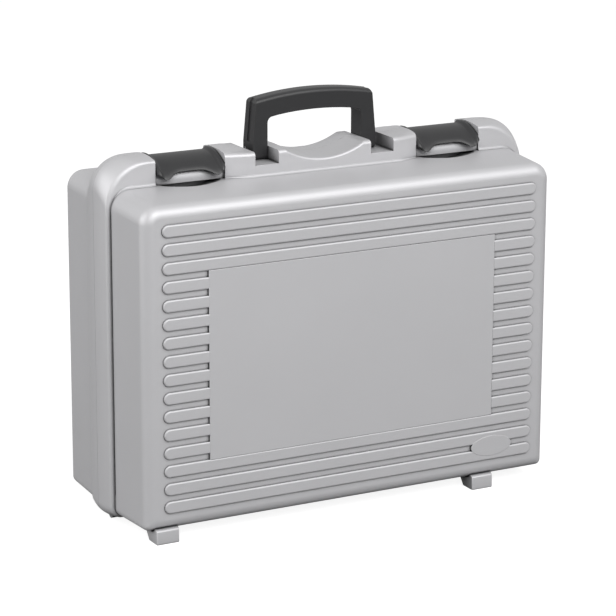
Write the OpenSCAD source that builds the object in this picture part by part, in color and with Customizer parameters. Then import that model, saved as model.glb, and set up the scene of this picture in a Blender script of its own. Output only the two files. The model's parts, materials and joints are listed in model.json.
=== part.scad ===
// Hard plastic carrying case: two ribbed tray shells that meet in a raised collar, hinged along
// the bottom, with a folding handle and two lever latches on top. Millimetres, Z up.
// The origin is on the floor, under the middle of the case. The front faces -Y, and the case
// parts in the plane Y = 0. The front shell is the lid, and the rear shell carries the rest.

/* [Case] */
// Width of both shells beside the collar
body_w = 452; // [430:1:560]
// Height of both shells at the collar
body_h = 324; // [317:1:420]
// Depth over the rib tops of both faces
body_d = 190; // [170:1:260]
// Height of the shells' undersides above the floor
body_lift = 10; // [9:0.5:13]
// Wall thickness of the shells
wall = 3; // [2:0.1:4]
// Radius of the shells' upper corners, seen from the front
corner_r = 20; // [17:1:30]
// Radius of the shells' lower corners
corner_low_r = 9; // [7:1:20]
// Rounding from the walls into the face
edge_r = 12; // [8:1:13]
// How far the sides and the bottom draw in from the collar to the face
draft = 2.3; // [1:0.1:3]
// How far the front shell's top falls from the collar to the face
top_draft_front = 4.3; // [1:0.1:5]
// How far the rear shell's top falls from the collar to the face
top_draft_rear = 1.5; // [1:0.1:5]
// Gap between the shells when the case is shut
parting_gap = 0.3; // [0.2:0.05:0.6]

/* [Collar] */
// Depth of the front shell's half of the collar
collar_front = 25; // [24.5:0.5:26]
// Depth of the rear shell's half of the collar
collar_rear = 22; // [21:0.5:30]
// How far the collar's crest stands out from the side walls
collar_side = 7; // [6:0.5:9]
// How far the collar's crest stands above the shells
collar_rise = 26.5; // [26:0.5:32]
// How far the collar falls from its crest to its rounded edges
collar_crown = 2.2; // [1.5:0.1:4]
// Rounding of the collar's edges
collar_edge_r = 3; // [1.5:0.1:3]
// Corner radius of the collar's upper corners at the crest
collar_top_r = 31; // [28:1:40]
// How much larger that radius is at the collar's edges
collar_top_more = 13; // [0:1:14]
// Corner radius of the collar's lower corners
collar_low_r = 14; // [12:1:30]

/* [Face] */
// Number of ribs on each face
rib_count = 16; // [12:1:17]
// Number of full-width ribs above the label panel, and below it
full_ribs = 3; // [2:1:4]
// Distance from one rib to the next
rib_pitch = 18; // [17:0.5:18.5]
// Width of one rib at its root
rib_w = 12; // [8:0.5:14]
// Height of the ribs above the face
rib_h = 2.4; // [1.6:0.1:3]
// Distance of the ribs' tips from the shell's sides
rib_margin = 21; // [18:0.5:40]
// Length of the short ribs beside the label panel
short_rib = 47.5; // [40:0.5:80]
// How far the label panel lies below the rib tops
panel_drop = 0.3; // [0.2:0.1:1]
// Width of the blank oval plate
oval_w = 47; // [36:1:50]
// Height of the blank oval plate
oval_h = 21; // [16:0.5:24]
// Distance of the oval plate's middle from the shell's side
oval_inset = 68; // [64:1:90]

/* [Feet] */
// Width of a foot
foot_w = 24; // [18:0.5:28]
// Depth of a foot at the floor
foot_d = 17; // [12:0.5:20]
// How much deeper a foot is at its root
foot_taper = 9; // [4:0.5:12]
// Distance of the outer foot from the shell's side
foot_out_inset = 24; // [23:0.5:40]
// Distance of the inner foot from the shell's other side
foot_in_inset = 77; // [70:0.5:100]

/* [Hinges] */
// Radius of the hinge knuckles
knuckle_r = 4.8; // [4.2:0.1:4.8]
// Radius of the hinge pins
hinge_pin_r = 2; // [1.5:0.1:2.4]
// Length of one hinge
hinge_len = 80; // [60:1:110]
// Distance of a hinge's outer end from the shell's side
hinge_inset = 6; // [5:0.5:20]
// Number of knuckles in one hinge
knuckles = 5; // [3:2:7]

/* [Handle] */
// Width over the handle's legs at the collar
handle_w = 136; // [130:1:140]
// Width of the opening between the legs
grip_w = 104; // [96:1:108]
// Height of the grip's crest above the case's crest
grip_rise = 49.5; // [44:0.5:60]
// Thickness of the grip
grip_t = 20; // [16:0.5:22]
// Depth of the handle from front to rear
handle_d = 21; // [16:0.5:22]
// Radius of the grip's arch
grip_arch_r = 335; // [250:5:500]
// Width of the notches that the legs stand in
notch_w = 25.5; // [22:0.5:28]
// Depth of the notches below the case's crest
notch_d = 16; // [15:0.5:18]
// Radius of the handle's pivot pins
handle_pin_r = 2.5; // [2:0.1:2.6]
// Distance of the handle's pivots behind the parting plane
handle_pin_y = 7; // [6.5:0.5:9]
// Radius of the finger scoop at the parting plane
scoop_r = 84; // [80:1:95]
// Depth of the finger scoop below the case's crest, at the parting plane
scoop_d = 13; // [10:0.5:13.5]
// How much deeper the finger scoop gets toward its front and rear edges
scoop_flare = 2.5; // [1:0.5:3]

/* [Handle bracket] */
// Width of the collar's thicker part round the handle, at its front
bracket_w = 168; // [162:1:172]
// How much wider it is where it meets the collar, on each side
bracket_slope = 27; // [20:1:30]
// How far it stands in front of the collar
bracket_out = 7.5; // [4:0.5:9]
// How far its flat top lies below the case's crest
bracket_dip = 3; // [2.5:0.1:3.5]
// Rounding of its upper edge
bracket_edge_r = 4; // [2:0.5:5]

/* [Latches] */
// Distance of a latch's middle from the collar's end
latch_inset = 90.5; // [89:0.5:92]
// Width of a latch
latch_w = 71.5; // [64:0.5:72]
// Width of a latch between its end flanges
lip_w = 65.5; // [56:0.5:66]
// Thickness of a latch's plate
latch_t = 3; // [2.4:0.1:3.2]
// Length of the quarter oval that a latch follows, from its top to its lip
latch_reach = 30.2; // [29:0.1:31]
// Height of that quarter oval
latch_high = 20.6; // [20:0.1:21.5]
// Height of the arch in the lip's edge
lip_arch = 5; // [2:0.5:6]
// How far the end flanges stand out from the plate
latch_flange = 1.3; // [0.8:0.1:1.5]
// Radius of the latch pins
latch_pin_r = 1.5; // [1.2:0.1:1.8]
// Gap between a latch and its recess
latch_gap = 0.75; // [0.5:0.05:1]
// Depth of the fingertip hollow below a latch's lip
hollow_d = 8; // [4:0.5:9]
// How far that hollow reaches in front of the collar
hollow_len = 19; // [12:1:24]
// How far it reaches under the collar
hollow_back = 6; // [3:0.5:8]

/* [Hidden] */
$fn = 48;
e = 0.01;
run_gap = 0.05;
side_gap = 0.3;

half_w = body_w / 2;
z_low = body_lift;
z_top = body_lift + body_h;
z_mid = (z_low + draft + z_top - top_draft_front) / 2;
z_crest = z_top + collar_rise;
crest_half = half_w + collar_side;
gap = parting_gap / 2;
rib_top_y = body_d / 2;
face_y = rib_top_y - rib_h;
rib_tip = half_w - rib_margin;
panel_x = rib_tip - short_rib;
hinge_z = knuckle_r + 0.2;
z_keel = hinge_z + 0.2;
hinge_end_x = half_w - hinge_inset;
collar_edge_top_r = collar_top_r + collar_top_more;

// The handle's legs stand against the inner walls of their notches, on round feet.
leg_in = grip_w / 2;
leg_out = handle_w / 2;
notch_in = leg_in - 1;
notch_z = z_crest - notch_d;
handle_pin_z = notch_z + 2 * handle_pin_r + 4;
foot_gap = 0.3;
arch_z = z_crest + grip_rise - grip_arch_r;
handle_groove = 1.4;
bracket_y = collar_front + bracket_out;
bracket_z = z_crest - bracket_dip;
scoop_z = z_crest - scoop_d;

// A latch's plate follows a quarter oval over the collar, and its barrel hangs under its rear end.
latch_x = crest_half - latch_inset;
latch_top_z = z_crest - 2.9;
latch_mid_y = 3;
latch_mid_z = latch_top_z - latch_high;
lip_end = 8;
latch_barrel_r = latch_pin_r + 2.5;
latch_pin_y = 12.5;
barrel_drop = 0.4;
latch_pin_z = latch_mid_z - latch_barrel_r - barrel_drop
    + latch_high * sqrt(1 - pow((latch_pin_y - latch_mid_y) / latch_reach, 2));
skirt_z = z_crest - 16.5;
recess_half = latch_w / 2 + latch_gap;

silver = [0.71, 0.72, 0.73];
black = [0.16, 0.16, 0.17];
steel = [0.76, 0.77, 0.79];

// A closed skin over rings that all have the same number of points.
module skin(rings) {
    m = len(rings[0]);
    n = len(rings);
    sides = [for (k = [0:n - 2]) for (i = [0:m - 1]) for (half = [0, 1])
        let (a = k * m + i, b = k * m + (i + 1) % m)
        half == 0 ? [a, b + m, b] : [a, a + m, b + m]];
    first = [for (i = [0:m - 1]) i];
    last = [for (i = [m - 1:-1:0]) (n - 1) * m + i];
    polyhedron([for (ring = rings) for (p = ring) p], concat([first], sides, [last]), convexity = 6);
}

function reversed(v) = [for (i = [len(v) - 1:-1:0]) v[i]];

// Rounded rectangle across the case at depth y: right, top, left and bottom in turn.
function ring(half, low, top, low_r, top_r, y, steps = 8) = [
    for (c = [[1, 1, top_r, 90], [1, -1, low_r, 0], [-1, -1, low_r, -90], [-1, 1, top_r, 180]])
    for (i = [0:steps])
        let (a = c[3] - 90 * i / steps, z = c[1] > 0 ? top - c[2] : low + c[2])
        [c[0] * (half - c[2]) + c[2] * cos(a), y, z + c[2] * sin(a)]];

// The tray's outline, set in by d all round and by more on top.
function tray_ring(d, more, y) =
    ring(half_w - d, z_low + d, z_top - d - more, max(corner_low_r - d, 3), max(corner_r - d, 3), y);

// A tray from its face to the parting plane, set in by t, with a rounding r into its face.
function tray_rings(t, r, open_y, top_draft) = concat(
    [for (a = [0:18:90]) tray_ring(t + draft + r * (1 - sin(a)), top_draft - draft,
        -(face_y - t) + r * (1 - cos(a)))],
    [tray_ring(t, 0, -collar_front), tray_ring(t, 0, open_y)]);

// The collar's outline, set in by d all round. Its upper corners widen toward its edges.
function collar_ring(d, y, depth) = ring(crest_half - d, z_keel + d, z_crest - d,
    collar_low_r - d / 2, collar_top_r + collar_top_more * pow(y / depth, 2), y);

function collar_rings(depth) = let (flat = depth - collar_edge_r) concat(
    [for (a = [90:-22.5:0]) collar_ring(collar_crown + collar_edge_r * (1 - cos(a)),
        -flat - collar_edge_r * sin(a), depth)],
    [for (s = [0.75, 0.5, 0.25]) collar_ring(collar_crown * s * s, -flat * s, depth)],
    [collar_ring(0, -gap, depth)]);

// A rib's section from its root over a rounded shoulder to its flat top: [out, up] in turn.
rib_shoulder = 1.6;
rib_lean = 0.3;
rib_side = concat([[rib_w / 2, 0]], [for (a = [0:30:90])
    [rib_w / 2 - rib_lean - rib_shoulder * (1 - cos(a)), rib_h - rib_shoulder * (1 - sin(a))]]);

// One rib along X at height z, on the front face. Its tips are rounded where its ends are free.
module rib(x0, x1, z, tip0, tip1) {
    r = rib_w / 2;
    a0 = tip0 ? x0 + r : x0;
    a1 = tip1 ? x1 - r : x1;
    translate([0, -face_y, z]) {
        translate([a0, 0, 0]) rotate([90, 0, 90]) linear_extrude(a1 - a0) polygon(concat(
            [for (p = rib_side) [-p[1], p[0]]], [for (p = reversed(rib_side)) [-p[1], -p[0]]]));
        for (tip = [[a0, tip0], [a1, tip1]])
            if (tip[1]) translate([tip[0], 0, 0]) rotate([90, 0, 0]) rotate_extrude()
                polygon(concat([[0, 0]], rib_side, [[0, rib_h]]));
    }
}

function rib_z(k) = z_mid + rib_pitch * ((rib_count - 1) / 2 - k);

// All the face's raised work: ribs, the label panel and the blank oval plate.
module face(oval) {
    panel_low = rib_z(rib_count - full_ribs) + rib_w / 2 - 0.3;
    panel_high = rib_z(full_ribs - 1) - rib_w / 2 + 0.3;
    for (k = [0:rib_count - 1])
        if (k < full_ribs || k >= rib_count - full_ribs) rib(-rib_tip, rib_tip, rib_z(k), true, true);
        else {
            rib(-rib_tip, -panel_x + 2, rib_z(k), true, false);
            rib(panel_x - 2, rib_tip, rib_z(k), false, true);
        }
    translate([-panel_x, -rib_top_y + panel_drop, panel_low])
        cube([2 * panel_x, rib_h - panel_drop + e, panel_high - panel_low]);
    if (oval)
        translate([half_w - oval_inset, -face_y + e, rib_z(rib_count - 1) + rib_pitch / 2 - 1.5])
            rotate([90, 0, 0]) linear_extrude(rib_h + e)
                polygon([for (a = [0:10:350]) [oval_w / 2 * cos(a), oval_h / 2 * sin(a)]]);
}

// A foot under the front shell, deeper at its root than on the floor.
module foot(x) {
    translate([x - foot_w / 2, 0, 0]) rotate([90, 0, 90]) linear_extrude(foot_w) polygon([
        [-rib_top_y + 1, 0], [-rib_top_y + 1 + foot_d, 0],
        [-rib_top_y + 1 + foot_d + foot_taper, z_low + wall],
        [-face_y + edge_r, z_low + wall + edge_r / 2], [-face_y + 1.5, z_low + edge_r + draft],
        [-rib_top_y + 1.5, z_low]]);
}

// A hinge's length along X for knuckle k, on the right side.
function knuckle_x(k) = hinge_end_x - hinge_len * (k + 1) / knuckles;

// Round bars on the hinge axis at every second knuckle of both hinges, starting at the given one.
module knuckle_bars(start, r, more) {
    for (side = [-1, 1]) for (k = [start:2:knuckles - 1])
        let (len = hinge_len / knuckles + more, mid = knuckle_x(k) + hinge_len / knuckles / 2)
        translate([side * mid - len / 2, 0, hinge_z]) rotate([0, 90, 0]) cylinder(h = len, r = r);
}

module hinge_bore(r) {
    for (side = [-1, 1])
        translate([side * (hinge_end_x - hinge_len / 2) - hinge_len / 2 - 1, 0, hinge_z])
            rotate([0, 90, 0]) cylinder(h = hinge_len + 2, r = r);
}

// The collar's thicker part round the handle, in front of the front half's collar.
module handle_bracket() {
    root = bracket_w / 2 + bracket_slope;
    r = bracket_edge_r;
    intersection() {
        translate([0, 0, z_top - top_draft_front]) linear_extrude(z_crest - z_top + top_draft_front) polygon([
            [-root, -collar_front + 1], [-bracket_w / 2, -bracket_y],
            [bracket_w / 2, -bracket_y], [root, -collar_front + 1]]);
        translate([-root, 0, 0]) rotate([90, 0, 90]) linear_extrude(2 * root) polygon(concat(
            [[0, z_top - collar_rise], [-bracket_y, z_top - collar_rise]],
            [for (a = [0:22.5:90]) [-bracket_y + r * (1 - cos(a)), bracket_z - r * (1 - sin(a))]],
            [[0, bracket_z]]));
    }
}

// What lies above the bracket's flat top, which runs on over both halves of the collar.
module bracket_top() {
    root = bracket_w / 2 + bracket_slope;
    translate([0, collar_rear + 1, 0]) rotate([90, 0, 0]) linear_extrude(collar_rear + bracket_y + 2)
        polygon([[-root, z_crest], [-bracket_w / 2, bracket_z], [bracket_w / 2, bracket_z],
            [root, z_crest], [root, z_crest + 1], [-root, z_crest + 1]]);
}

// The trough for the fingers below the grip, round a level axis above the case.
module finger_scoop() {
    profile = [for (s = [-1.2:0.2:1.25]) [scoop_r + scoop_flare * s * s, s * bracket_y]];
    translate([0, 0, scoop_z + scoop_r]) rotate([-90, 0, 0]) rotate_extrude($fn = 96)
        polygon(concat([[0, -1.2 * bracket_y]], profile, [[0, 1.2 * bracket_y]]));
}

module handle_notches() {
    for (side = [0, 1]) mirror([side, 0, 0])
        translate([notch_in, -bracket_y - 1, notch_z])
            cube([notch_w, bracket_y + collar_rear + 2, notch_d + 1]);
}

// A point of a latch's oval, set in by t. It is the foremost one at 0 and the highest at 90 degrees.
function latch_point(t, a) =
    [latch_mid_y - (latch_reach - t) * cos(a), latch_mid_z + (latch_high - t) * sin(a)];

// A latch's plate in section between t and its inner surface, from the lip to the barrel.
function latch_section(t) = concat(
    [for (a = [lip_end:10:lip_end + 100]) latch_point(t, a)],
    [for (a = [lip_end + 100:-10:lip_end]) latch_point(latch_t, a)]);

// The room that a latch needs in the collar: over the plate, behind the lip and round the barrel.
module latch_recess() {
    t = latch_t + latch_gap;
    barrel = latch_barrel_r + latch_gap;
    translate([-recess_half, 0, 0]) rotate([90, 0, 90]) linear_extrude(2 * recess_half) polygon(concat(
        [[-collar_front - 1, z_top], [latch_mid_y - latch_reach + t, z_top]],
        [for (a = [0:10:90]) latch_point(t, a)],
        [[latch_pin_y - barrel, latch_mid_z + latch_high - t - 0.3],
         [latch_pin_y - barrel, latch_pin_z - barrel], [collar_rear + 1, latch_pin_z - barrel],
         [collar_rear + 1, z_crest + 1], [-collar_front - 1, z_crest + 1]]));
}

// The hollow for a fingertip under a latch's lip, grown by t. It reaches back under the collar.
module finger_hollow(t) {
    r = (lip_w * lip_w / 4 + hollow_d * hollow_d) / (2 * hollow_d);
    profile = [for (s = [0:0.125:1])
        [r + t - hollow_d * (1 - cos(180 * s)) / 2, -(hollow_len + t) * s]];
    intersection() {
        translate([0, -collar_front, z_top - hollow_d + r]) rotate([-90, 0, 0]) rotate_extrude($fn = 120)
            polygon(concat([[0, hollow_back + t], [r + t, hollow_back + t]], profile,
                [[0, -hollow_len - t]]));
        translate([-lip_w, -collar_front - hollow_len - 2 * wall, z_top - 2 * hollow_d]) cube(
            [2 * lip_w, collar_front + hollow_len + 2 * wall, 2 * hollow_d]);
    }
}

// Pockets that core the collar's thick top from the parting plane.
module collar_pockets(depth, bracket) {
    low = z_top + wall;
    step = recess_half + wall;
    corner = 0.3 * collar_edge_top_r + wall;
    // Each pocket runs from one distance from the middle to another, up to a height and in to a depth.
    pockets = [
        [-notch_in + wall, notch_in - wall, scoop_z - scoop_flare - wall, depth + bracket],
        [notch_in + notch_w + wall, latch_x - step, bracket_z - wall, depth],
        [latch_x - step + wall, latch_x + step - wall, latch_mid_z + 0.4 * (latch_high - latch_t),
            min(depth, 0.7 * (latch_reach - latch_t) - latch_mid_y + wall)],
        [latch_x + step, crest_half - corner, z_crest - collar_crown - corner, depth]];
    for (p = pockets) for (side = p[0] < 0 ? [0] : [0, 1])
        mirror([side, 0, 0]) translate([p[0], -p[3] + wall, low]) cube([p[1] - p[0], p[3], p[2] - low]);
}

// One moulded half: tray, collar and face, hollow behind its walls.
module half_case(depth, top_draft, is_front) {
    difference() {
        union() {
            skin(tray_rings(0, edge_r, -gap, top_draft));
            skin(collar_rings(depth));
            if (is_front) handle_bracket();
            face(is_front);
            foot(-half_w + foot_out_inset);
            foot(half_w - foot_in_inset);
        }
        difference() {
            skin(tray_rings(wall, edge_r - wall, 1, top_draft));
            if (is_front) for (x = [-latch_x, latch_x]) translate([x, 0, 0]) finger_hollow(wall);
        }
        if (is_front) for (x = [-latch_x, latch_x]) translate([x, 0, 0]) finger_hollow(0);
        collar_pockets(depth, is_front ? bracket_out : 0);
    }
}

module top_cuts() {
    bracket_top();
    handle_notches();
    finger_scoop();
    for (x = [-latch_x, latch_x]) translate([x, 0, 0]) latch_recess();
}

module front_shell() {
    color(silver) difference() {
        union() {
            difference() {
                half_case(collar_front, top_draft_front, true);
                top_cuts();
                knuckle_bars(0, knuckle_r + side_gap, 2 * side_gap);
            }
            knuckle_bars(1, knuckle_r, 0);
        }
        hinge_bore(hinge_pin_r + run_gap);
    }
}

module rear_shell() {
    color(silver) difference() {
        union() {
            difference() {
                rotate([0, 0, 180]) half_case(collar_rear, top_draft_rear, false);
                top_cuts();
                knuckle_bars(1, knuckle_r + side_gap, 2 * side_gap);
            }
            knuckle_bars(0, knuckle_r, 0);
        }
        hinge_bore(hinge_pin_r);
        for (side = [0, 1]) mirror([side, 0, 0]) handle_pin(0);
        for (x = [-latch_x, latch_x]) latch_pin(x);
    }
}

// The handle's outline, set in by t, from its right foot over the grip to its left foot.
function handle_outline(t) =
    let (out = leg_out - t, shoulder = out - 3.5, top = arch_z + grip_arch_r + 1)
    [[-out, notch_z], [-out, z_crest + 1], [-shoulder, top - 11], [-shoulder + 5, top],
     [shoulder - 5, top], [shoulder, top - 11], [out, z_crest + 1], [out, notch_z]];

// The opening under the grip, with rounded upper corners.
function handle_opening(t) =
    let (half = leg_in + t, r = 6, arch = grip_arch_r - grip_t + t, zc = arch_z)
    concat(
        [[half, notch_z - 1]],
        [for (a = [0:22.5:67.5]) [half - r + r * cos(a), z_crest + 20 + r * sin(a)]],
        [for (x = [40:-10:-40]) [x, zc + sqrt(arch * arch - x * x)]],
        [for (a = [112.5:22.5:180]) [-half + r + r * cos(a), z_crest + 20 + r * sin(a)]],
        [[-half, notch_z - 1]]);

// The grip's section in the radial direction, with its upper edges rounded over.
module handle_envelope() {
    half = handle_d / 2;
    round_r = 6;
    deep = 0.62;
    translate([0, 0, arch_z]) rotate([90, 0, 0]) rotate_extrude($fn = 360)
        polygon(concat(
            [[grip_arch_r - 130, -half]],
            [for (a = [90:-18:0]) [grip_arch_r - round_r * deep * (1 - cos(a)), -half + round_r * (1 - sin(a))]],
            [for (a = [0:18:90]) [grip_arch_r - round_r * deep * (1 - cos(a)), half - round_r * (1 - sin(a))]],
            [[grip_arch_r - 130, half]]));
}

// The handle's section in depth: straight sides, and a foot that turns round the pivot behind.
module handle_side() {
    half = handle_d / 2;
    low = notch_z + foot_gap;
    r = handle_pin_z - low;
    turn = asin((half - handle_pin_y) / r);
    translate([-leg_out - 1, 0, 0]) rotate([90, 0, 90]) linear_extrude(2 * leg_out + 2) polygon(concat(
        [[-half, z_crest + 2 * grip_rise], [-half, low + 3], [-half + 1, low + 1], [-half + 3, low]],
        [for (a = [0:turn / 3:turn + e]) [handle_pin_y + r * sin(a), handle_pin_z - r * cos(a)]],
        [[half, z_crest + 2 * grip_rise]]));
}

module handle() {
    flange_gap = handle_d * 0.3;
    color(black) difference() {
        intersection() {
            rotate([90, 0, 0]) linear_extrude(handle_d, center = true) difference() {
                polygon(handle_outline(0));
                polygon(handle_opening(0));
            }
            handle_envelope();
            handle_side();
        }
        rotate([90, 0, 0]) linear_extrude(flange_gap, center = true) difference() {
            translate([-handle_w, notch_z + notch_d + 1]) square([2 * handle_w, 2 * grip_rise]);
            polygon(handle_outline(handle_groove));
        }
        for (side = [0, 1]) mirror([side, 0, 0]) handle_pin(run_gap);
    }
}

// A pin on the handle's pivot axis, on the right side, grown by g.
module handle_pin(g) {
    x0 = leg_in - 12;
    translate([x0, handle_pin_y, handle_pin_z]) rotate([0, 90, 0])
        cylinder(h = leg_out - x0 - 0.5 + (g > 0 ? 1 : 0), r = handle_pin_r + g);
}

module left_handle_pin() {
    color(steel) mirror([1, 0, 0]) handle_pin(0);
}

module right_handle_pin() {
    color(steel) handle_pin(0);
}

// A latch: plate and lip on one quarter oval, raised end flanges and the pivot barrel.
module latch(x) {
    half = latch_w / 2;
    side_w = (latch_w - lip_w) / 2;
    lip_low = latch_point(0, lip_end)[1] - e;
    // The lip's lower edge rises over the given shares of its half-width to the arch.
    arch = [[0.83, -1], [0.83, 0], [0.66, 0.3], [0.46, 0.68], [0.25, 0.94], [0, 1]];
    color(black) translate([x, 0, 0]) difference() {
        union() {
            translate([-lip_w / 2 - e, 0, 0]) rotate([90, 0, 90]) linear_extrude(lip_w + 2 * e)
                polygon(latch_section(0));
            for (side = [0, 1]) mirror([side, 0, 0]) translate([lip_w / 2, 0, 0])
                rotate([90, 0, 90]) linear_extrude(side_w) polygon(latch_section(-latch_flange));
            translate([-half, latch_pin_y, latch_pin_z]) rotate([0, 90, 0])
                cylinder(h = latch_w, r = latch_barrel_r);
        }
        translate([-half - 1, latch_pin_y, latch_pin_z]) rotate([0, 90, 0])
            cylinder(h = latch_w + 2, r = latch_pin_r + run_gap);
        // The end flanges stop short behind, at the skirt's height.
        for (side = [0, 1]) mirror([side, 0, 0]) translate([lip_w / 2, 0, 0])
            rotate([90, 0, 90]) linear_extrude(side_w + 1) polygon([
                [-collar_front - 5, lip_low - 1], [-collar_front - 5, lip_low], [-collar_front, skirt_z],
                [-collar_front + 5, skirt_z], [-collar_front + 5, lip_low - 1]]);
        translate([0, -collar_front / 2, 0]) rotate([90, 0, 0]) linear_extrude(collar_front) polygon(concat(
            [for (p = arch) [-p[0] * lip_w / 2, lip_low + lip_arch * p[1]]],
            [for (p = reversed(arch)) [p[0] * lip_w / 2, lip_low + lip_arch * p[1]]]));
    }
}

module left_latch() {
    latch(-latch_x);
}

module right_latch() {
    latch(latch_x);
}

module latch_pin(x) {
    length = latch_w + 12;
    translate([x - length / 2, latch_pin_y, latch_pin_z]) rotate([0, 90, 0])
        cylinder(h = length, r = latch_pin_r);
}

module left_latch_pin() {
    color(steel) latch_pin(-latch_x);
}

module right_latch_pin() {
    color(steel) latch_pin(latch_x);
}

module hinge_pin(side) {
    mid = side * (hinge_end_x - hinge_len / 2);
    color(steel) translate([mid - hinge_len / 2, 0, hinge_z]) rotate([0, 90, 0])
        cylinder(h = hinge_len, r = hinge_pin_r);
}

module left_hinge_pin() {
    hinge_pin(-1);
}

module right_hinge_pin() {
    hinge_pin(1);
}

front_shell();
rear_shell();
handle();
left_handle_pin();
right_handle_pin();
left_latch();
right_latch();
left_latch_pin();
right_latch_pin();
left_hinge_pin();
right_hinge_pin();
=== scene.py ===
import json
import math

import bpy
from mathutils import Matrix, Vector


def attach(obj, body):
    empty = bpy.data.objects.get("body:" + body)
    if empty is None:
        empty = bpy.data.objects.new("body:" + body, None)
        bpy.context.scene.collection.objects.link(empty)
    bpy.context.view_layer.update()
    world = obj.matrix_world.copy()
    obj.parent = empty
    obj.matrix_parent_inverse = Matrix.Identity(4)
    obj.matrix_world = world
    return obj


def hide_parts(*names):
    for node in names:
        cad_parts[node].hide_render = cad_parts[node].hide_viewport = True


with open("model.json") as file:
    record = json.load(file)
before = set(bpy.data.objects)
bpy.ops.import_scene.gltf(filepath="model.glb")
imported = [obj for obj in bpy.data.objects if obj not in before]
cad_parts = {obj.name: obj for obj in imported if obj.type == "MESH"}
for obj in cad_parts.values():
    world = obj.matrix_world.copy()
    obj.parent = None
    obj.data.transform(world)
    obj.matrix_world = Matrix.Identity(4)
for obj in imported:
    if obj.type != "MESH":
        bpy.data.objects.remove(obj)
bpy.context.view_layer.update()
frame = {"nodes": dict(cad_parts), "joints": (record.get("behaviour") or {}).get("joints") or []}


# Camera
# A long lens from the left front, a little above the case. Its place and axes come from a fit to
# the ribs, the face's edges and the outline. The picture is square.
SPOT = Vector((-1.2480, -2.3276, 0.8982))
RIGHT = Vector((0.8819, -0.4714, 0.0029))
UP = Vector((0.1204, 0.2310, 0.9654))

camera = bpy.data.objects.new("photo_camera", bpy.data.cameras.new("photo_camera"))
camera.data.sensor_width = 36
camera.data.lens = 159.95
camera.data.clip_end = 60
axes = Matrix((RIGHT, UP, RIGHT.cross(UP))).transposed()
camera.matrix_world = Matrix.Translation(SPOT) @ axes.to_4x4()
bpy.context.scene.collection.objects.link(camera)
bpy.context.scene.camera = camera


# Studio
# A pale floor and world, and three soft boxes: two above the front and one at the left. The floor
# glows white to the camera alone, so the glow lights nothing and the case keeps its shadow.
AIM = Vector((0, 0, 0.2))


class Value:
    """One output of a node. A + - or * on it adds a Math node."""

    def __init__(self, nodes, socket):
        self.nodes = nodes
        self.socket = socket

    def math(self, operation, first, second):
        return self.nodes.node("Math", {"operation": operation}, _0=first, _1=second)

    def __add__(self, other):
        return self.math("ADD", self, other)

    def __radd__(self, other):
        return self.math("ADD", other, self)

    def __sub__(self, other):
        return self.math("SUBTRACT", self, other)

    def __rsub__(self, other):
        return self.math("SUBTRACT", other, self)

    def __mul__(self, other):
        return self.math("MULTIPLY", self, other)

    def __rmul__(self, other):
        return self.math("MULTIPLY", other, self)


class Nodes:
    """The shader nodes of a material or of the world."""

    def __init__(self, owner):
        owner.use_nodes = True
        self.owner = owner
        self.tree = owner.node_tree
        self.tree.nodes.clear()

    def node(self, kind, settings=None, output=0, **inputs):
        """Add a node and return one of its outputs. Inputs go by their name, or by _ and a number."""
        node = self.tree.nodes.new("ShaderNode" + kind)
        for name, value in (settings or {}).items():
            setattr(node, name, value)
        for name, value in inputs.items():
            number = name[1:]
            socket = node.inputs[int(number) if number.isdigit() else name.replace("_", " ")]
            if isinstance(value, Value):
                self.tree.links.new(value.socket, socket)
            else:
                socket.default_value = value
        return Value(self, node.outputs[output]) if node.outputs else None


def soft_box(name, place, size, watts):
    lamp = bpy.data.lights.new(name, "AREA")
    lamp.shape = "RECTANGLE"
    lamp.size, lamp.size_y = size
    lamp.energy = watts
    box = bpy.data.objects.new(name, lamp)
    box.location = place
    box.rotation_euler = (AIM - Vector(place)).to_track_quat("-Z", "Y").to_euler()
    bpy.context.scene.collection.objects.link(box)


def deselect():
    if bpy.context.mode != "OBJECT":
        bpy.ops.object.mode_set(mode="OBJECT")
    bpy.ops.object.select_all(action="DESELECT")


soft_box("key_box", place=(0.5, -2.0, 2.1), size=(2.6, 1.8), watts=72)
soft_box("front_box", place=(-0.7, -2.6, 1.8), size=(1.8, 1.2), watts=26)
soft_box("left_box", place=(-2.4, 0.4, 1.1), size=(2.4, 2.0), watts=43)

world = bpy.data.worlds.new("tent")
bpy.context.scene.world = world
tent = Nodes(world)
seen = tent.node("LightPath", output="Is Camera Ray") + tent.node("LightPath", output="Is Glossy Ray")
strength = tent.node("MapRange", Value=seen, To_Min=0.22, To_Max=0.7)
tent.node("OutputWorld", Surface=tent.node("Background", Color=(1, 1, 1, 1), Strength=strength))

deselect()
bpy.ops.mesh.primitive_plane_add(size=16)
floor = bpy.context.object
floor.name = "studio_floor"
paper = Nodes(bpy.data.materials.new("white_paper"))
diffuse = paper.node("BsdfDiffuse", Color=(0.32, 0.32, 0.32, 1))
lens_ray = paper.node("LightPath", output="Is Camera Ray")
glow = paper.node("Emission", Color=(1, 1, 1, 1), Strength=lens_ray * 0.9)
paper.node("OutputMaterial", Surface=paper.node("AddShader", _0=diffuse, _1=glow))
floor.data.materials.append(paper.owner)
bpy.context.scene.view_settings.view_transform = "Standard"


# Front half shell
# The lid, injection-moulded in silver polypropylene with 3 mm walls. Ribs, label panel, oval plate,
# collar, bracket, feet and hinge knuckles are moulded with the tray. It hangs on the hinge pins.
TRAY_HALF, TRAY_LOW, TRAY_TOP = 0.226, 0.010, 0.334
COLLAR_HALF, COLLAR_LOW, COLLAR_TOP = 0.233, 0.0052, 0.3605

# How far each half of the collar reaches from the parting plane, and how far the face and the ribs do
FRONT_DEPTH, REAR_DEPTH = 0.025, 0.022
FACE, RIB_TOP = 0.0926, 0.095
WALL = 0.003
HAIR = 0.00001


def select_only(obj):
    deselect()
    bpy.context.view_layer.objects.active = obj
    obj.select_set(True)


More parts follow.
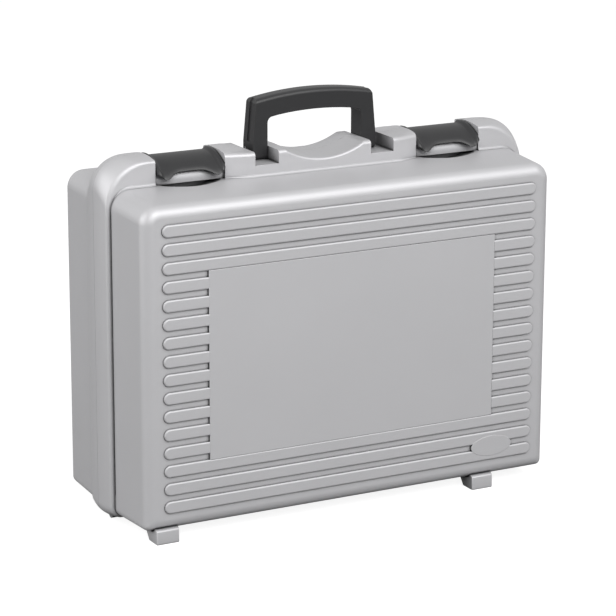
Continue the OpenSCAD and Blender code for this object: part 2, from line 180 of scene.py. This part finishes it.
def pick(obj, kind, test):
    """Enter edit mode with the vertices, edges or faces selected that pass the test."""
    select_only(obj)
    bpy.ops.object.mode_set(mode="EDIT")
    bpy.ops.mesh.select_mode(type=kind)
    bpy.ops.mesh.select_all(action="DESELECT")
    bpy.ops.object.mode_set(mode="OBJECT")
    points = obj.data.vertices
    if kind == "VERT":
        for point in points:
            point.select = test(point.co)
    elif kind == "EDGE":
        for edge in obj.data.edges:
            edge.select = test(points[edge.vertices[0]].co, points[edge.vertices[1]].co)
    else:
        for face in obj.data.polygons:
            face.select = test(face.center)
    bpy.ops.object.mode_set(mode="EDIT")


def settle(obj):
    """Put an object's place, turn and scale into its mesh."""
    select_only(obj)
    bpy.ops.object.transform_apply(location=True, rotation=True, scale=True)
    return obj


def loft(name, rings):
    """A closed solid, extruded from ring to ring."""
    deselect()
    count = len(rings[0])
    bpy.ops.mesh.primitive_circle_add(vertices=count, radius=0.01, fill_type="NGON")
    obj = bpy.context.object
    obj.name = name
    for number, points in enumerate(rings):
        if number:
            bpy.ops.object.mode_set(mode="EDIT")
            bpy.ops.mesh.select_mode(type="VERT")
            bpy.ops.mesh.extrude_region_move()
            bpy.ops.object.mode_set(mode="OBJECT")
        for vertex, point in zip(list(obj.data.vertices)[-count:], points):
            vertex.co = point
    bpy.ops.object.mode_set(mode="EDIT")
    bpy.ops.mesh.select_all(action="SELECT")
    bpy.ops.mesh.normals_make_consistent(inside=False)
    bpy.ops.mesh.select_all(action="DESELECT")
    bpy.ops.object.mode_set(mode="OBJECT")
    return obj


def prism(name, outline, start, end, along="X"):
    """A bar along X with an outline in Y and Z, or along Y with an outline in X and Z."""
    if along == "X":
        return loft(name, [[(x, y, z) for y, z in outline] for x in (start, end)])
    return loft(name, [[(x, y, z) for x, z in outline] for y in (start, end)])


def block(name, y_span, z_span, x_span):
    """A plain block, for cutting."""
    (start, end), (low, high) = y_span, z_span
    return prism(name, [(start, low), (end, low), (end, high), (start, high)], *x_span)


def cut(obj, tool, operation="DIFFERENCE"):
    """Cut the tool's shape out of the object, or add it, and take the tool away."""
    select_only(obj)
    knife = obj.modifiers.new("cut", "BOOLEAN")
    knife.object = tool
    knife.operation = operation
    knife.solver = "EXACT"
    bpy.ops.object.modifier_apply(modifier="cut")
    bpy.data.objects.remove(tool, do_unlink=True)


def round_edges(obj, radius, test, segments=3):
    """Round the edges whose two ends pass the test."""
    pick(obj, "EDGE", test)
    bpy.ops.mesh.bevel(offset=radius, segments=segments, affect="EDGES")
    bpy.ops.object.mode_set(mode="OBJECT")


def trim(obj, place, normal):
    """Take off what lies beyond a plane, and close the piece there."""
    pick(obj, "VERT", lambda point: True)
    bpy.ops.mesh.bisect(plane_co=place, plane_no=normal, use_fill=True, clear_outer=True)
    bpy.ops.object.mode_set(mode="OBJECT")


def quarter(steps):
    """The angles of a quarter turn, in equal steps."""
    return [math.pi / (2 * steps) * step for step in range(steps + 1)]


def rounding(radius, steps=6):
    """How far a rounded edge lies inside its first and second flank, from the first to the second."""
    return [(radius * (1 - math.cos(angle)), radius * (1 - math.sin(angle))) for angle in quarter(steps)]


CORNER_STEPS = 14


def frame_ring(half, low, top, low_radius, top_radius, y):
    """Points of a rounded rectangle across the case, at depth y."""
    corners = ((1, top - top_radius, top_radius, 90), (1, low + low_radius, low_radius, 0),
               (-1, low + low_radius, low_radius, -90), (-1, top - top_radius, top_radius, 180))
    points = []
    for side, middle, radius, start in corners:
        for step in range(CORNER_STEPS + 1):
            angle = math.radians(start - 90 * step / CORNER_STEPS)
            points.append((side * (half - radius) + radius * math.cos(angle), y,
                           middle + radius * math.sin(angle)))
    return points


PARTING_GAP = 0.00015
FACE_EDGE, DRAFT = 0.012, 0.0023
TRAY_LOW_CORNER, TRAY_TOP_CORNER, LEAST_CORNER = 0.009, 0.020, 0.004


def tray(name, fall):
    """A half's tray, straight beside the collar, then drawn in. Its top falls toward the face."""

    def ring(inset, drop, y):
        return frame_ring(TRAY_HALF - inset, TRAY_LOW + inset, TRAY_TOP - inset - drop,
                          max(TRAY_LOW_CORNER - inset, LEAST_CORNER),
                          max(TRAY_TOP_CORNER - inset, LEAST_CORNER), y)

    rings = [ring(0, 0, -PARTING_GAP), ring(0, 0, -FRONT_DEPTH)]
    for inset, short in rounding(FACE_EDGE, steps=9):
        rings.append(ring(DRAFT + inset, fall - DRAFT, -FACE + short))
    obj = loft(name, rings)
    pick(obj, "FACE", lambda middle: middle.y > -PARTING_GAP - HAIR)
    bpy.ops.mesh.delete(type="ONLY_FACE")
    bpy.ops.object.mode_set(mode="OBJECT")
    wall = obj.modifiers.new("wall", "SOLIDIFY")
    wall.thickness = WALL
    wall.offset = -1
    bpy.ops.object.modifier_apply(modifier="wall")
    return obj


# The bracket in plan: its ends lie on the collar, and between its corners it stands out
BRACKET_END, BRACKET_CORNER = 0.111, 0.084
BRACKET_PLAN = ((-BRACKET_END, False), (-BRACKET_CORNER, True),
                (BRACKET_CORNER, True), (BRACKET_END, False))
BRACKET_FRONT, BRACKET_TOP, BRACKET_EDGE = -0.0325, 0.3575, 0.004
BRACKET_BACK, SLOPE_END, BRACKET_SINK = -0.0195, -0.0246, 0.0012


def bracket():
    """The collar's thicker part round the handle, with a rounded upper edge."""
    low = TRAY_TOP - BRACKET_SINK
    rings = []
    for x, stands_out in BRACKET_PLAN:
        y = BRACKET_FRONT if stands_out else SLOPE_END
        edge = [(x, y + back, BRACKET_TOP - down) for back, down in rounding(BRACKET_EDGE)]
        rings.append([(x, BRACKET_BACK, BRACKET_TOP), (x, BRACKET_BACK, low), (x, y, low)] + edge)
    return loft("bracket", rings)


CROWN, CROWN_STEPS, COLLAR_EDGE = 0.0022, 6, 0.003
COLLAR_LOW_CORNER, COLLAR_TOP_CORNER, CORNER_GROWTH = 0.014, 0.031, 0.013
CORE_LOW_CORNER, CORE_TOP_CORNER = 0.0075, 0.0185
SPARE, LONG_SPARE = 0.001, 0.01


def core(low, low_corner, start, end):
    """The room inside the collar, up to the middle of the tray's wall."""
    half, top = TRAY_HALF - WALL / 2, TRAY_TOP - WALL / 2
    return loft("core", [frame_ring(half, low, top, low_corner, CORE_TOP_CORNER, y)
                         for y in (start, end)])


def collar(name, depth, with_bracket):
    """Half of the collar, a ring with a low crown. Its upper corners grow toward its edge."""

    def ring(inset, y):
        top_corner = COLLAR_TOP_CORNER + CORNER_GROWTH * (y / depth) ** 2
        return frame_ring(COLLAR_HALF - inset, COLLAR_LOW + inset, COLLAR_TOP - inset,
                          COLLAR_LOW_CORNER - inset / 2, top_corner, y)

    rings = [ring(CROWN * (step / CROWN_STEPS) ** 2,
                  -max((depth - COLLAR_EDGE) * step / CROWN_STEPS, PARTING_GAP))
             for step in range(CROWN_STEPS + 1)]
    for inset, short in rounding(COLLAR_EDGE)[1:]:
        rings.append(ring(CROWN + inset, -depth + short))
    obj = loft(name, rings)
    cut(obj, core(TRAY_LOW + WALL / 2, CORE_LOW_CORNER, SPARE, -depth - LONG_SPARE))
    if with_bracket:
        cut(obj, bracket(), "UNION")
    return obj


# The fillets are let into the parts that they join, by their sinks. The collar's is kept at its upper
# corners. The bracket's runs round its front and ends on its slopes, and stands out there and at its
# corners by shares of its size
FILLET, SINK, LIGHT_SINK, BRACKET_FILLET_SINK = 0.0027, 0.0003, 0.00003, 0.0007
FILLET_BACK, FILLET_FRONT = -0.02, -0.04
FILLET_LOW, FILLET_LOW_CORNER, BELOW_FILLET, ABOVE_FILLET = 0.15, 0.02, 0.1, 0.35
FILLET_START = 0.179
SLOPE_X, SLOPE_Y, SLOPE_SHARE, CORNER_SHARE = 0.106, -0.02557, 1.05, 0.15


def fillets():
    """The small concave fillets where the front collar and the bracket meet the tray's top."""

    def ring(rise, y):
        return frame_ring(TRAY_HALF - SINK, FILLET_LOW, TRAY_TOP + rise,
                          FILLET_LOW_CORNER, TRAY_TOP_CORNER + rise, y)

    rings = [ring(FILLET, -FRONT_DEPTH + SINK)]
    rings += [ring(rise, -FRONT_DEPTH + LIGHT_SINK - out) for out, rise in rounding(FILLET)]
    corners = loft("collar_fillet", rings)
    cut(corners, block("middle", (FILLET_FRONT, FILLET_BACK), (BELOW_FILLET, ABOVE_FILLET),
                       (-FILLET_START, FILLET_START)))
    cut(corners, core(BELOW_FILLET, FILLET_LOW_CORNER, FILLET_BACK, FILLET_FRONT))
    rings = []
    for rise, out in rounding(FILLET):
        z = TRAY_TOP - BRACKET_FILLET_SINK + rise
        right_half = [(BRACKET_CORNER + CORNER_SHARE * out, BRACKET_FRONT - out, z),
                      (SLOPE_X, SLOPE_Y - SLOPE_SHARE * out, z), (SLOPE_X, FILLET_BACK, z)]
        rings.append([(-x, y, z) for x, y, z in right_half[::-1]] + right_half)
    return [corners, loft("bracket_fillet", rings)]


def bar(name, start, end, z, radius, y=0.0):
    """A round bar along X."""
    deselect()
    bpy.ops.mesh.primitive_cylinder_add(vertices=40, radius=radius, depth=end - start,
                                        location=((start + end) / 2, y, z),
                                        rotation=(0, math.pi / 2, 0))
    bpy.context.object.name = name
    return settle(bpy.context.object)


def roller(name, x, z, sizes, sides=200):
    """A round body with its axis level from front to rear, through pairs of depth and radius."""
    turns = [2 * math.pi * step / sides for step in range(sides)]
    return loft(name, [[(x + radius * math.cos(turn), y, z + radius * math.sin(turn)) for turn in turns]
                       for y, radius in sizes])


def join(parts):
    deselect()
    for part in parts:
        part.select_set(True)
    bpy.context.view_layer.objects.active = parts[0]
    bpy.ops.object.join()
    return parts[0]


def mirrored(obj):
    """A copy of a piece on the case's other side."""
    select_only(obj)
    bpy.ops.object.duplicate()
    twin = bpy.context.object
    twin.scale = (-1, 1, 1)
    settle(twin)
    pick(twin, "FACE", lambda middle: True)
    bpy.ops.mesh.normals_make_consistent(inside=False)
    bpy.ops.object.mode_set(mode="OBJECT")
    return twin


RIBS, LONG_RIBS, PITCH, FACE_MIDDLE = 16, 3, 0.018, 0.171
RIB_RADIUS, RIB_HEIGHT, RIB_ROOT, RIB_EDGE = 0.006, 0.0022, 0.002, 0.0017
RIB_TIP, PANEL_HALF = 0.205, 0.1575
PANEL_OVERLAP, PANEL_EDGE, PANEL_ROOT = 0.0004, 0.0005, 0.001


def rib(start, end, z, square_end=False):
    """A rib with a rounded top edge. Its tips are round, or the inner one ends square at the panel."""
    deselect()
    y = -FACE - RIB_HEIGHT / 2 + RIB_ROOT / 2
    bpy.ops.mesh.primitive_cylinder_add(vertices=48, radius=RIB_RADIUS, depth=RIB_HEIGHT + RIB_ROOT,
                                        location=(start + RIB_RADIUS, y, z), rotation=(math.pi / 2, 0, 0))
    obj = settle(bpy.context.object)
    pick(obj, "VERT", lambda point: point.x > start + RIB_RADIUS + HAIR)
    bpy.ops.transform.translate(value=(end - start - 2 * RIB_RADIUS, 0, 0))
    round_edges(obj, RIB_EDGE, lambda a, b: max(a.y, b.y) < -FACE - RIB_HEIGHT + HAIR, segments=5)
    if square_end:
        trim(obj, (-PANEL_HALF + SINK, 0, 0), (1, 0, 0))
    return obj


def face_work():
    """The ribs and the flat label panel of one face."""
    made = []
    for number in range(RIBS):
        z = FACE_MIDDLE + PITCH * ((RIBS - 1) / 2 - number)
        if number < LONG_RIBS or number >= RIBS - LONG_RIBS:
            made.append(rib(-RIB_TIP, RIB_TIP, z))
        else:
            made.append(rib(-RIB_TIP, -PANEL_HALF + 2 * RIB_RADIUS, z, square_end=True))
            made.append(mirrored(made[-1]))
    last_long_rib = PITCH * ((RIBS - 1) / 2 - LONG_RIBS + 1)
    low = FACE_MIDDLE - last_long_rib + RIB_RADIUS - PANEL_OVERLAP
    high = FACE_MIDDLE + last_long_rib - RIB_RADIUS + PANEL_OVERLAP
    outline = [(-PANEL_HALF, low), (PANEL_HALF, low), (PANEL_HALF, high), (-PANEL_HALF, high)]
    panel = prism("panel", outline, -RIB_TOP + SINK, -FACE + PANEL_ROOT, along="Y")
    round_edges(panel, PANEL_EDGE, lambda a, b: max(a.y, b.y) < -RIB_TOP + SINK + HAIR)
    made.append(panel)
    return made


OVAL_X, OVAL_Z, OVAL_HALF_WIDTH, OVAL_HALF_HEIGHT = 0.158, 0.045, 0.0235, 0.0105
OVAL_THICK, OVAL_EDGE = 0.003, 0.0006


def oval_plate():
    """The bare oval plate at the face's lower right."""
    deselect()
    bpy.ops.mesh.primitive_cylinder_add(vertices=96, radius=1, depth=OVAL_THICK,
                                        location=(OVAL_X, -RIB_TOP + OVAL_THICK / 2, OVAL_Z),
                                        rotation=(math.pi / 2, 0, 0))
    obj = bpy.context.object
    obj.scale = (OVAL_HALF_WIDTH, OVAL_HALF_HEIGHT, 1)
    settle(obj)
    round_edges(obj, OVAL_EDGE, lambda a, b: max(a.y, b.y) < -RIB_TOP + HAIR)
    return obj


FEET_X = (-0.202, 0.149)
FOOT_HALF, FOOT_DEEP, FOOT_REACH, FOOT_EDGE = 0.012, 0.017, 0.026, 0.0012
FOOT_SET, LEDGE_SET, LEDGE_HIGH = 0.001, 0.0005, 0.0035
ROUND_UP_TO, ROUND_BACK_TO = TRAY_LOW + 0.004, -FACE + 0.018


def foot(x):
    """A foot with a sloping rear. Its upper end stays inside the tray's wall, along the face's edge."""
    front = -RIB_TOP + FOOT_SET
    middle_wall = FACE_EDGE - WALL / 2
    outline = [(front, 0), (front + FOOT_DEEP, 0), (front + FOOT_REACH, TRAY_LOW + WALL / 2)]
    outline += [(-FACE + FACE_EDGE - middle_wall * math.sin(angle),
                 TRAY_LOW + FACE_EDGE - middle_wall * math.cos(angle)) for angle in quarter(steps=12)[:8]]
    outline.append((front + LEDGE_SET, TRAY_LOW + LEDGE_HIGH))
    obj = prism("foot", outline, x - FOOT_HALF, x + FOOT_HALF)
    round_edges(obj, FOOT_EDGE, lambda a, b: max(a.z, b.z) < ROUND_UP_TO and max(a.y, b.y) < ROUND_BACK_TO)
    return obj


joint_places = {joint["name"]: joint["pos_m"] for joint in frame["joints"]}
HINGE_Z = joint_places["lid_hinge"][2]
HINGE_END, KNUCKLES, KNUCKLE_WIDTH, KNUCKLE_RADIUS, ROOM = 0.220, 5, 0.016, 0.0048, 0.0003


def knuckle_spans(first):
    """Where every second knuckle of both hinges lies along X, from the outer end inwards."""
    spans = []
    for side in (-1, 1):
        for number in range(first, KNUCKLES, 2):
            outer = HINGE_END - KNUCKLE_WIDTH * number
            spans.append(sorted((side * outer, side * (outer - KNUCKLE_WIDTH))))
    return spans


def knuckles(first):
    """Every second knuckle of both hinges."""
    return [bar("knuckle", start, end, HINGE_Z, KNUCKLE_RADIUS) for start, end in knuckle_spans(first)]


def knuckle_rooms(obj, first):
    """Clear the collar's lower edge for the other half's knuckles."""
    for start, end in knuckle_spans(first):
        cut(obj, bar("knuckle_room", start - ROOM, end + ROOM, HINGE_Z, KNUCKLE_RADIUS + ROOM))


# The oval that a latch lever's plate follows in section: its middle, its reach to the front and its
# height, then the plate's thickness and the air below it
LATCH_X, PIN_Y, PIN_Z = joint_places["right_latch_lift"]
LATCH_Y, LATCH_Z, LATCH_REACH, LATCH_HIGH = 0.003, 0.337, 0.0302, 0.0206
PLATE, AIR = 0.003, 0.00075

RECESS_HALF, RECESS_FRONT, RECESS_LOW, RECESS_STEP = 0.0365, -0.02505, 0.003, 0.0005
TROUGH_Y, TROUGH_Z, TROUGH_EDGE = 0.00775, 0.3474, 0.35355
SCOOP_Z, SCOOP_RADIUS, SCOOP_FLARE = 0.4315, 0.084, 0.0025
RIM_RADIUS, RIM_EDGE = 0.0861, 0.0025
NOTCH_INNER, NOTCH_OUTER, NOTCH_FLOOR = 0.051, 0.0765, 0.3445

# Planes outside the collar, where the cutters end
BEFORE, BEHIND, ABOVE = -0.04, 0.03, 0.37


def top_openings(obj):
    """Cut the bracket's flat top, the finger scoop, the handle's notches and the latches' recesses."""
    flat = [(x, BRACKET_TOP if stands_out else COLLAR_TOP) for x, stands_out in BRACKET_PLAN]
    flat += [(BRACKET_END, ABOVE), (-BRACKET_END, ABOVE)]
    cut(obj, prism("flat_top", flat, BEFORE, BEHIND, along="Y"))
    shares = [step / 5 for step in range(6, -5, -1)]
    sizes = [(-BRACKET_FRONT * share, SCOOP_RADIUS + SCOOP_FLARE * share * share) for share in shares]
    sizes += [(BRACKET_FRONT + back, RIM_RADIUS + wider) for wider, back in rounding(RIM_EDGE)]
    sizes.append((BEFORE, RIM_RADIUS + RIM_EDGE))
    cut(obj, roller("scoop", 0, SCOOP_Z, sizes))
    reach, high = LATCH_REACH - PLATE - AIR, LATCH_HIGH - PLATE - AIR
    recess = [(BEFORE, TRAY_TOP - RECESS_LOW), (RECESS_FRONT, TRAY_TOP - RECESS_LOW),
              (RECESS_FRONT, TRAY_TOP - RECESS_STEP), (LATCH_Y - reach, TRAY_TOP - RECESS_STEP)]
    recess += [(LATCH_Y - reach * math.cos(angle), LATCH_Z + high * math.sin(angle))
               for angle in quarter(steps=16)]
    recess += [(TROUGH_Y, TROUGH_EDGE), (TROUGH_Y, TROUGH_Z),
               (BEHIND, TROUGH_Z), (BEHIND, ABOVE), (BEFORE, ABOVE)]
    for side in (-1, 1):
        sides = sorted((side * NOTCH_INNER, side * NOTCH_OUTER))
        cut(obj, block("notch", (BEFORE, BEHIND), (NOTCH_FLOOR, ABOVE), sides))
        cut(obj, prism("recess", recess, side * LATCH_X - RECESS_HALF, side * LATCH_X + RECESS_HALF))


# The cored pockets in the collar's thick top: each one's two sides and its top, and their floor
SCOOP_POCKET, BRACKET_POCKET = (-0.048, 0.048, 0.342), (0.0795, 0.103, 0.3545)
LATCH_POCKET, CORNER_POCKET = (0.106, 0.179, 0.344), (0.182, 0.2168, 0.3421)
POCKET_FLOOR, LATCH_POCKET_DEPTH = 0.337, 0.019


def pockets(obj, depth, facing, scoop_depth):
    """Core the collar's top from the parting plane, leaving a wall. The front half faces 1, the rear -1."""
    for (inner, outer, top), deep in ((SCOOP_POCKET, scoop_depth), (BRACKET_POCKET, depth),
                                      (LATCH_POCKET, LATCH_POCKET_DEPTH), (CORNER_POCKET, depth)):
        ends = sorted((facing * SPARE, -facing * (deep - WALL)))
        for side in ((1,) if inner < 0 else (-1, 1)):
            cut(obj, block("pocket", ends, (POCKET_FLOOR, top), sorted((side * inner, side * outer))))


HOLLOW_RADIUS, HOLLOW_DEEP, HOLLOW_LONG = 0.071035, 0.008, 0.019
HOLLOW_START, HOLLOW_STEPS, HOLLOW_TOP = -0.013, 12, 0.4


def hollow(x, more=0.0, top=HOLLOW_TOP):
    """The fingertip hollow below a latch's lip, a dish that starts 12 mm back under the collar.

    It can be made larger all round by more, and it is cut off flat at top.
    """
    radius = HOLLOW_RADIUS + more
    sizes = [(HOLLOW_START + more, radius)]
    for step in range(HOLLOW_STEPS + 1):
        rise = HOLLOW_DEEP * (1 - math.cos(math.pi * step / HOLLOW_STEPS)) / 2
        sizes.append((-FRONT_DEPTH - (HOLLOW_LONG + more) * step / HOLLOW_STEPS, radius - rise))
    obj = roller("hollow", x, TRAY_TOP - HOLLOW_DEEP + HOLLOW_RADIUS, sizes, sides=260)
    trim(obj, (0, 0, top), (0, 0, 1))
    return obj


def moulded_skin(nodes, grain_scale, edge_radius, strength):
    """The Object coordinates, a fine grain, and a normal with that grain and softened edges."""
    place = nodes.node("TexCoord", output="Object")
    grain = nodes.node("TexNoise", Vector=place, Scale=grain_scale, Detail=2.0)
    edges = nodes.node("Bevel", {"samples": 6}, Radius=edge_radius)
    skin = nodes.node("Bump", Strength=strength, Distance=0.00006, Height=grain, Normal=edges)
    return place, grain, skin


# A colour Mix node's sockets 6 and 7 are its two colours, and its output 2 is their mix
silver = Nodes(bpy.data.materials.new("silver_plastic"))
place, grain, skin = moulded_skin(silver, grain_scale=1500.0, edge_radius=0.0005, strength=0.25)
flow = silver.node("TexNoise", Vector=place, Scale=9.0, Detail=3.0)
shade = silver.node("Mix", {"data_type": "RGBA"}, 2, Factor=flow * 0.9 - 0.1,
                    _6=(0.472, 0.470, 0.482, 1), _7=(0.508, 0.505, 0.518, 1))
# Painted shade: ambient occlusion darkens the base colour. A fine term darkens creases such as the ribs'
# roots. A wide term also counts other pieces, so it darkens hollows, recesses and the surface under the
# latch levers and the handle.
crease_occlusion = silver.node("AmbientOcclusion", {"samples": 8, "only_local": True}, 1, Distance=0.004)
painted_crease_shade = silver.node("MapRange", Value=crease_occlusion, From_Min=0.46, From_Max=0.9, To_Min=0.04)
cavity_occlusion = silver.node("AmbientOcclusion", {"samples": 8}, 1, Distance=0.03)
painted_cavity_shade = silver.node("MapRange", Value=cavity_occlusion, From_Min=0.15, From_Max=0.6, To_Min=0.2)
# The random tone is multiplied by both painted shades.
painted_shade_colour = silver.node("Mix", {"data_type": "RGBA", "blend_type": "MULTIPLY"}, 2, Factor=1.0,
                       _6=shade, _7=painted_crease_shade * painted_cavity_shade)
satin = silver.node("BsdfPrincipled", Base_Color=painted_shade_colour, Metallic=0.27, IOR=1.49,
                    Roughness=0.43 + grain * 0.1, Normal=skin)
silver.node("OutputMaterial", Surface=satin)


def dress(obj, name, material, angle):
    """Name a piece, smooth its shading up to an angle in degrees and give it its material."""
    obj.name = name
    select_only(obj)
    bpy.ops.object.shade_smooth_by_angle(angle=math.radians(angle))
    obj.data.materials.clear()
    obj.data.materials.append(material)


def dress_shell(obj, name, body):
    dress(obj, name, silver.owner, angle=32)
    even = obj.modifiers.new("even", "WEIGHTED_NORMAL")
    even.keep_sharp = True
    bpy.ops.object.modifier_apply(modifier="even")
    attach(obj, body)


FRONT_FALL, REAR_FALL = 0.0043, 0.0015
HOLLOW_WALL_SINK = 0.002

# The shallow groove down the tray's sides beside the collar: its outline in Y and Z, and its reach in X
SEAM = ((-0.0265, 0.034), (-0.0251, 0.030), (-0.0251, 0.314), (-0.0265, 0.310))
SEAM_INNER, SEAM_OUTER = 0.2256, 0.2275

front_tray = tray("front_tray", FRONT_FALL)
front_collar = collar("front_collar", FRONT_DEPTH, True)
top_openings(front_collar)
pockets(front_collar, FRONT_DEPTH, 1, -BRACKET_FRONT)
knuckle_rooms(front_collar, 0)
for x in (-LATCH_X, LATCH_X):
    cut(front_tray, hollow(x, WALL, TRAY_TOP - HOLLOW_WALL_SINK), "UNION")
    cut(front_tray, hollow(x))
    cut(front_collar, hollow(x, 0, TRAY_TOP - HAIR))
for side in (-1, 1):
    cut(front_tray, prism("seam", SEAM, *sorted((side * SEAM_INNER, side * SEAM_OUTER))))
front_half = join([front_tray, front_collar, oval_plate()] + [foot(x) for x in FEET_X]
                  + fillets() + knuckles(1) + face_work())
dress_shell(front_half, "front_case_half", "front_half")
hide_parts("front_shell")


# Rear half shell
# The same moulding turned half round, with a slightly shallower collar and without the oval plate,
# the bracket's step, the hollows and the side grooves. It carries the handle, latches and pins.
def turned(obj):
    """Turn a piece half round the upright axis."""
    obj.rotation_euler = (0, 0, math.pi)
    return settle(obj)


rear_tray = turned(tray("rear_tray", REAR_FALL))
rear_collar = turned(collar("rear_collar", REAR_DEPTH, False))
top_openings(rear_collar)
pockets(rear_collar, REAR_DEPTH, -1, REAR_DEPTH)
knuckle_rooms(rear_collar, 1)
rear_half = join([rear_tray, rear_collar] + knuckles(0)
                 + [turned(piece) for piece in [foot(x) for x in FEET_X] + face_work()])
dress_shell(rear_half, "rear_case_half", "rear_half")
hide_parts("rear_shell")


# Latch levers
# Two levers moulded in satin black plastic. Each is a curved plate with a flared lip for the
# fingertips and a barrel at its rear, which turns on a steel pin in the rear shell.
black = Nodes(bpy.data.materials.new("black_plastic"))
place, grain, skin = moulded_skin(black, grain_scale=1300.0, edge_radius=0.0008, strength=0.3)
satin = black.node("BsdfPrincipled", Base_Color=(0.016, 0.016, 0.017, 1), IOR=1.49,
                   Roughness=0.38 + grain * 0.1, Normal=skin)
black.node("OutputMaterial", Surface=satin)

LEVER_HALF = 0.03575
BARREL_RADIUS, BARREL_SET, BORE_RADIUS, BORE_HALF = 0.004, 0.0006, 0.0016, 0.04

# Along the lever, from its middle at 0 to its end at 1: where the lip's horns are and how wide they
# spread to either side, where the end flange begins and stands, and where the plate's end rounds off
# and what share of its thickness it keeps there
HORN, HORN_INWARD, HORN_OUTWARD = 0.76, 0.24, 0.17
FLANGE_START, FLANGE_RUN, END_START, END_SHARE = 0.84, 0.07, 0.96, 0.4

# Round the plate's section, in degrees up from the oval's foremost point: where the lip ends, how much
# lower it hangs at the horns, where the plate stops at the barrel, and over how much of it the flare
# and the lip's thinning die out
LIP_DEG, HORN_DEG, LAST_DEG, FLARE_DEG, THIN_DEG = 25, 17, 104, 48, 12
LIP_FLARE, HORN_FLARE, LIP_THIN, FLANGE = 0.0026, 0.0036, 0.0007, 0.0024
SECTION_STEPS, LEVER_STEPS = 24, 72
LEVER_ENDS = [0.985, 0.9967, 1]


def lever_ring(x, share):
    """A lever's section at a share of its half length, over the plate and back under it."""
    spread = HORN_INWARD if share < HORN else HORN_OUTWARD
    horn = math.exp(-((share - HORN) / spread) ** 2)
    first = math.radians(LIP_DEG - HORN_DEG * horn)
    last = math.radians(LAST_DEG)
    flange = FLANGE * min(max((share - FLANGE_START) / FLANGE_RUN, 0), 1)
    full = math.sqrt(1 - min(max(share - END_START, 0) / (1 - END_START), 1) ** 2)
    thick = PLATE * (END_SHARE + (1 - END_SHARE) * full)
    shrink = PLATE * (1 - END_SHARE) / 2 * (1 - full)
    flare = LIP_FLARE + HORN_FLARE * horn
    outside, inside = [], []
    for step in range(SECTION_STEPS + 1):
        angle = first + (last - first) * step / SECTION_STEPS
        out = flare * max(1 - (angle - first) / math.radians(FLARE_DEG), 0) ** 2
        thin = LIP_THIN * max(1 - (angle - first) / math.radians(THIN_DEG), 0) ** 2
        for line, inset in ((outside, shrink + thin - flange), (inside, thick + shrink - thin)):
            line.append((x, LATCH_Y - (LATCH_REACH - inset) * math.cos(angle) - out,
                         LATCH_Z + (LATCH_HIGH - inset) * math.sin(angle)))
    return outside + inside[::-1]


def lever(middle):
    """A latch lever: its plate, and its bored barrel."""
    shares = [-1 + 2 * step / LEVER_STEPS for step in range(2, LEVER_STEPS - 1)]
    shares = [-end for end in LEVER_ENDS[::-1]] + shares + LEVER_ENDS
    plate = loft("plate", [lever_ring(middle + share * LEVER_HALF, abs(share)) for share in shares])
    barrel_half = LEVER_HALF - BARREL_SET
    barrel = bar("barrel", middle - barrel_half, middle + barrel_half, PIN_Z, BARREL_RADIUS, PIN_Y)
    cut(barrel, bar("bore", middle - BORE_HALF, middle + BORE_HALF, PIN_Z, BORE_RADIUS, PIN_Y))
    return join([plate, barrel])


for side, node in ((-1, "left_latch"), (1, "right_latch")):
    piece = lever(side * LATCH_X)
    dress(piece, node + "_lever", black.owner, angle=40)
    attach(piece, "latch_on_left" if side < 0 else "latch_on_right")
    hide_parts(node)


# Handle
# One moulding in the same black plastic, with a crowned grip between two legs. It folds back on
# two steel pins in the rear shell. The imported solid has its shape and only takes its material.
def paint(node, material):
    for slot in node.material_slots:
        slot.material = material


paint(frame["nodes"]["handle"], black.owner)


# Pins
# Drawn steel wire, cut to length: two pins each for the handle, the latches and the hinges. Their
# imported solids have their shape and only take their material.
steel = Nodes(bpy.data.materials.new("pin_steel"))
place = steel.node("TexCoord", output="Object")
along = steel.node("Mapping", Vector=place, Scale=(40.0, 2500.0, 2500.0))
drawn = steel.node("TexNoise", Vector=along, Scale=1.0)
steel.node("OutputMaterial", Surface=steel.node(
    "BsdfPrincipled", Base_Color=(0.62, 0.63, 0.65, 1), Metallic=1.0, Roughness=0.25 + drawn * 0.2))

for name, node in frame["nodes"].items():
    if name.endswith("_pin"):
        paint(node, steel.owner)

deselect()
